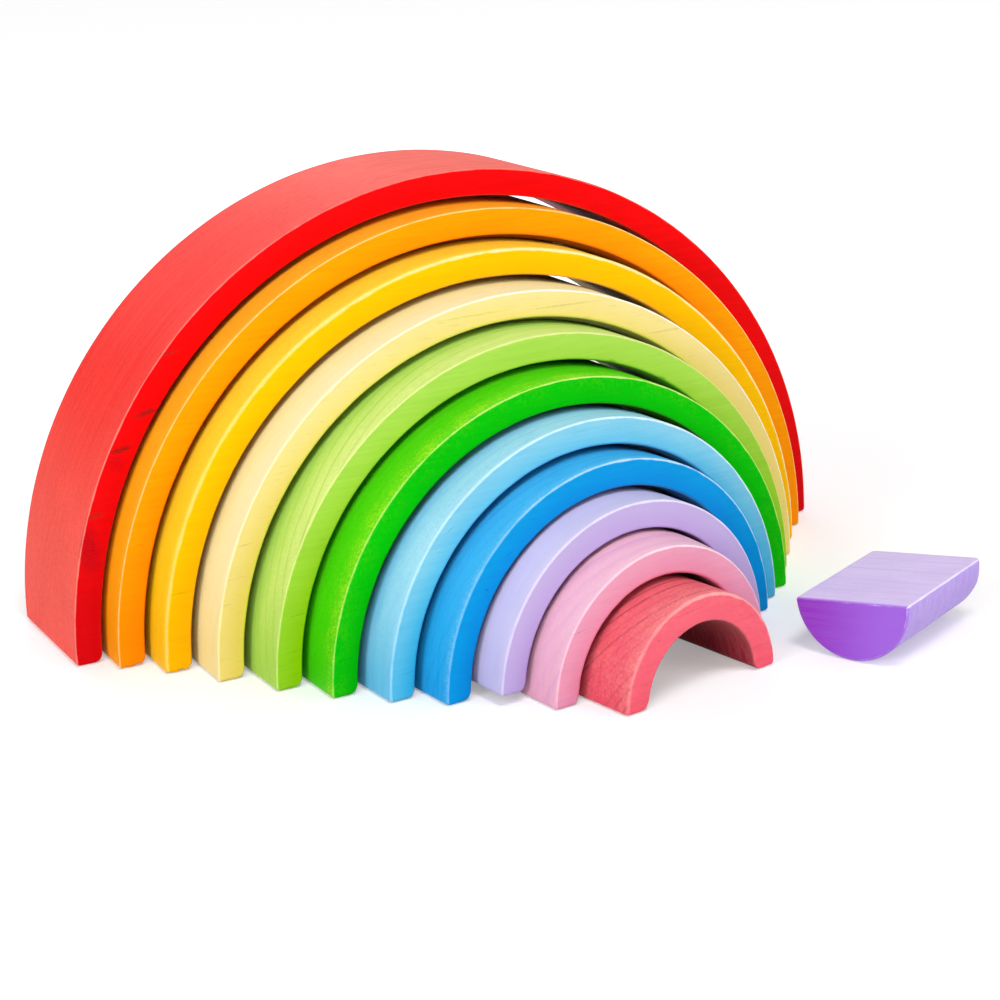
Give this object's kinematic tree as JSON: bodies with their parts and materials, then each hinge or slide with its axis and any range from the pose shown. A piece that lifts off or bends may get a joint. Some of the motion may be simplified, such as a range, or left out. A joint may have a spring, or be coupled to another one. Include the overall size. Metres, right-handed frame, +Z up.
{
  "type": "rainbow stacker",
  "caption": "Wooden rainbow stacker: nested half-ring arches in graded colours that slide out one through another, with a half-round core block that rocks on its curved side.",
  "frame": {"origin": "on the table, under the middle of the box round the whole set as it stands", "axes": "+X along the width of the red arch, to the right seen from the front; +Y to the rear, where the red arch stands; +Z up"},
  "size_m": [0.37, 0.2629, 0.185],
  "materials": {
    "red": "satin stain with brush streaks and scuffs",
    "orange": "satin stain over visible grain",
    "amber": "satin stain over visible grain",
    "cream": "satin stain over visible grain",
    "lime": "satin stain over visible grain",
    "green": "satin stain over visible grain",
    "sky": "satin stain over visible grain",
    "blue": "satin stain over visible grain",
    "lavender": "smooth satin stain, grain hardly shows",
    "pink": "satin stain over visible grain",
    "coral": "thin satin stain over strong, dark-lined grain",
    "violet": "satin stain over visible grain"
  },
  "bodies": {
    "red": {"red_arch": "red"},
    "orange": {"orange_arch": "orange"},
    "amber": {"amber_arch": "amber"},
    "cream": {"cream_arch": "cream"},
    "lime": {"lime_arch": "lime"},
    "green": {"green_arch": "green"},
    "sky": {"sky_arch": "sky"},
    "blue": {"blue_arch": "blue"},
    "lavender": {"lavender_arch": "lavender"},
    "pink": {"pink_arch": "pink"},
    "coral": {"coral_arch": "coral"},
    "violet": {"violet_core": "violet"}
  },
  "joints": [
    {"name": "orange_slide", "type": "slide", "parent": "red", "child": "orange", "axis": [0.0087, 1, 0], "range_m": [0, 0.0145]},
    {"name": "amber_slide", "type": "slide", "parent": "orange", "child": "amber", "axis": [0.0087, 1, 0], "range_m": [0, 0.016]},
    {"name": "cream_slide", "type": "slide", "parent": "amber", "child": "cream", "axis": [0, 1, 0], "range_m": [0, 0.019]},
    {"name": "lime_slide", "type": "slide", "parent": "cream", "child": "lime", "axis": [-0.0262, 0.9997, 0], "range_m": [0, 0.019]},
    {"name": "green_slide", "type": "slide", "parent": "lime", "child": "green", "axis": [-0.0349, 0.9994, 0], "range_m": [0, 0.019]},
    {"name": "sky_slide", "type": "slide", "parent": "green", "child": "sky", "axis": [-0.0785, 0.9969, 0], "range_m": [0, 0.013]},
    {"name": "blue_slide", "type": "slide", "parent": "sky", "child": "blue", "axis": [-0.1132, 0.9936, 0], "range_m": [0, 0.0135]},
    {"name": "lavender_slide", "type": "slide", "parent": "blue", "child": "lavender", "axis": [-0.1219, 0.9925, 0], "range_m": [0, 0.0145]},
    {"name": "pink_slide", "type": "slide", "parent": "lavender", "child": "pink", "axis": [-0.1305, 0.9914, 0], "range_m": [0, 0.0155]},
    {"name": "coral_slide", "type": "slide", "parent": "pink", "child": "coral", "axis": [-0.1736, 0.9848, 0], "range_m": [-0.045, 0.021]},
    {"name": "core_rock", "type": "hinge", "parent": "red", "child": "violet", "pos_m": [0.11496, -0.09397, 0.0255], "axis": [0.9026, 0.4305, 0], "range_deg": [-79, 91]}
  ]
}
